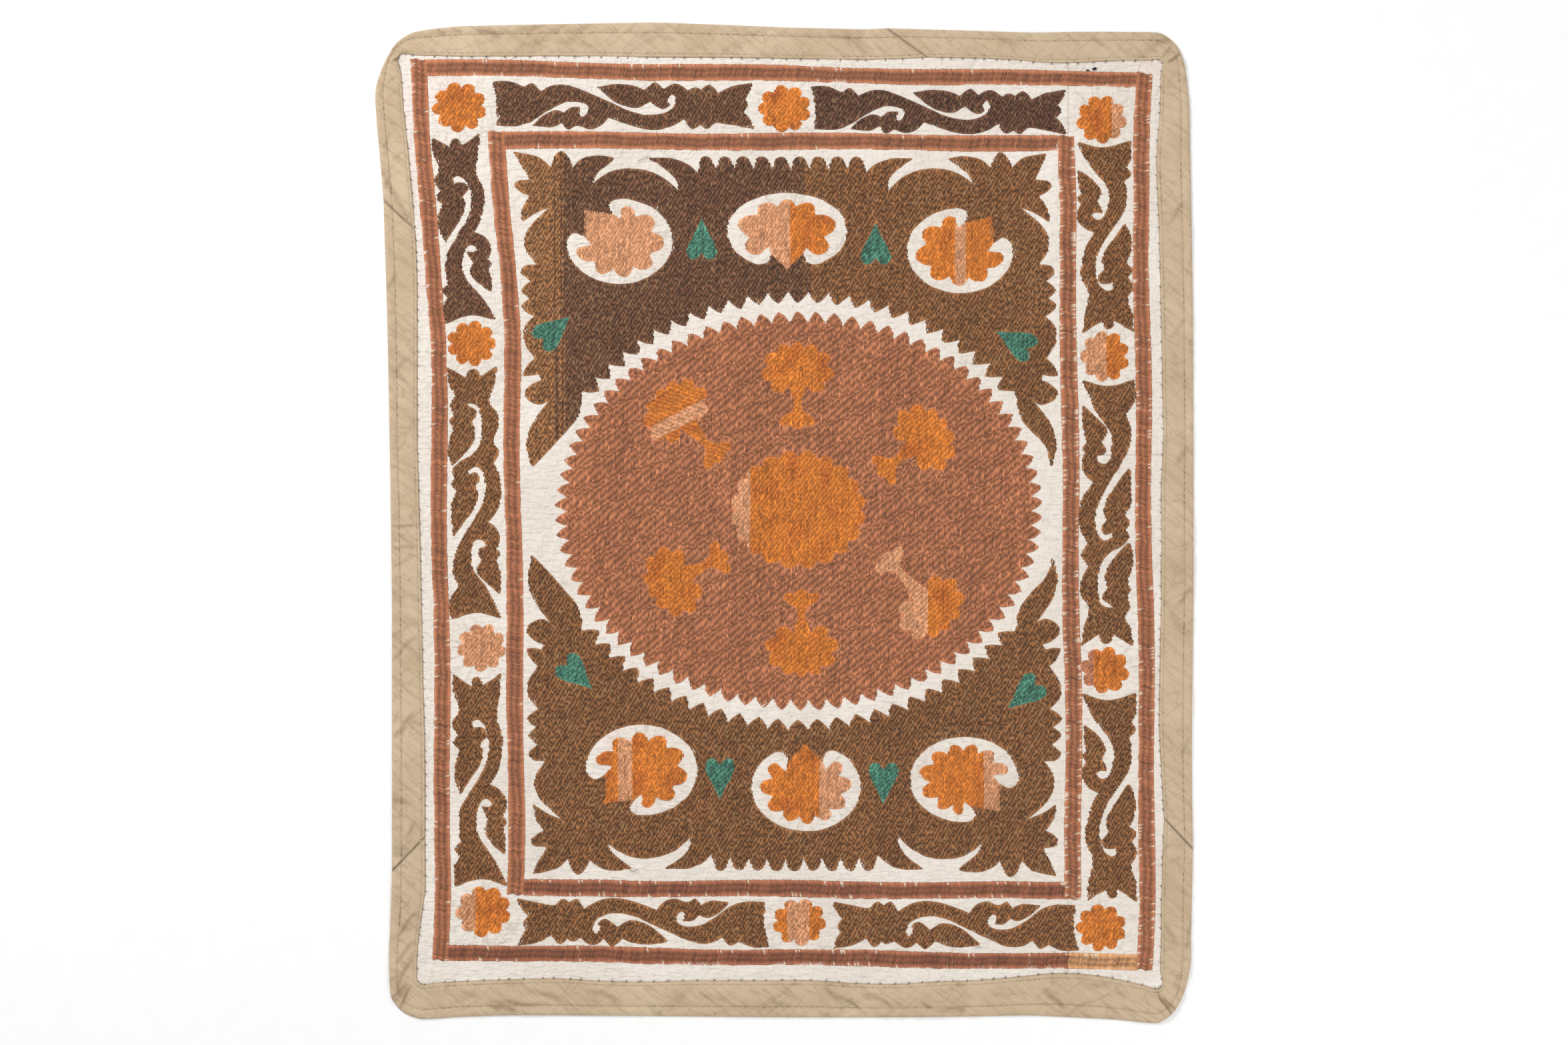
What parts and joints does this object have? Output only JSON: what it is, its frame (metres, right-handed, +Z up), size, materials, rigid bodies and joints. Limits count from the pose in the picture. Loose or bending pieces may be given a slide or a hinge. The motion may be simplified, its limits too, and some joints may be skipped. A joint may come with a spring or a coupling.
{
  "type": "suzani embroidered textile",
  "caption": "Rectangular cotton wall cloth lying flat, worked all over in couched silk: medallion in a flowered field, vine border, bias-cut binding.",
  "frame": {"origin": "on the surface that the cloth lies on, under the middle of its bounding box", "axes": "+X to the right edge, +Y to the top edge along the longer side, +Z up out of the embroidered face"},
  "size_m": [1.1515, 1.4088, 0.0037],
  "materials": {
    "ground_cotton": "plain-woven undyed cotton, slightly puckered",
    "binding_cotton": "khaki cotton cut on the bias, matt",
    "silk_brown": "couched silk, soft sheen",
    "silk_terracotta": "couched silk, soft sheen",
    "silk_orange": "couched silk, soft sheen",
    "silk_peach": "couched silk, soft sheen",
    "silk_green": "couched silk, soft sheen"
  },
  "bodies": {
    "root": {"ground-main": "ground_cotton", "ground-side-upper": "ground_cotton", "ground-side-lower": "ground_cotton", "binding-top-right": "binding_cotton", "binding-bottom": "binding_cotton", "binding-left": "binding_cotton", "binding-top-left": "binding_cotton", "band-outer-left": "silk_terracotta", "band-outer-right": "silk_terracotta", "band-outer-top": "silk_terracotta", "band-outer-bottom": "silk_terracotta", "band-inner-left": "silk_terracotta", "band-inner-right": "silk_terracotta", "band-inner-top": "silk_terracotta", "band-inner-bottom": "silk_terracotta", "vine-top-left": "silk_brown", "vine-top-right": "silk_brown", "vine-right-upper": "silk_brown", "vine-right-middle": "silk_brown", "vine-right-lower": "silk_brown", "vine-bottom-right": "silk_brown", "vine-bottom-left": "silk_brown", "vine-left-lower": "silk_brown", "vine-left-middle": "silk_brown", "vine-left-upper": "silk_brown", "rosette-top-left": "silk_orange", "rosette-top-middle": "silk_orange", "rosette-top-right": "silk_orange", "rosette-left-upper": "silk_orange", "rosette-left-lower": "silk_peach", "rosette-right-upper": "silk_orange", "rosette-right-lower": "silk_orange", "rosette-bottom-left": "silk_orange", "rosette-bottom-middle": "silk_orange", "rosette-bottom-right": "silk_orange", "flower-top-left": "silk_peach", "flower-top-middle": "silk_orange", "flower-top-right": "silk_orange", "flower-bottom-left": "silk_orange", "flower-bottom-middle": "silk_orange", "flower-bottom-right": "silk_orange", "heart-top-left": "silk_green", "heart-top-right": "silk_green", "heart-left-upper": "silk_green", "heart-right-upper": "silk_green", "heart-left-lower": "silk_green", "heart-right-lower": "silk_green", "heart-bottom-left": "silk_green", "heart-bottom-right": "silk_green", "field-upper": "silk_brown", "field-lower": "silk_brown", "rosette-centre": "silk_orange", "tulip-top": "silk_orange", "tulip-bottom": "silk_orange", "tulip-upper-left": "silk_orange", "tulip-upper-right": "silk_orange", "tulip-lower-left": "silk_orange", "tulip-lower-right": "silk_orange", "medallion": "silk_terracotta"}
  },
  "joints": []
}
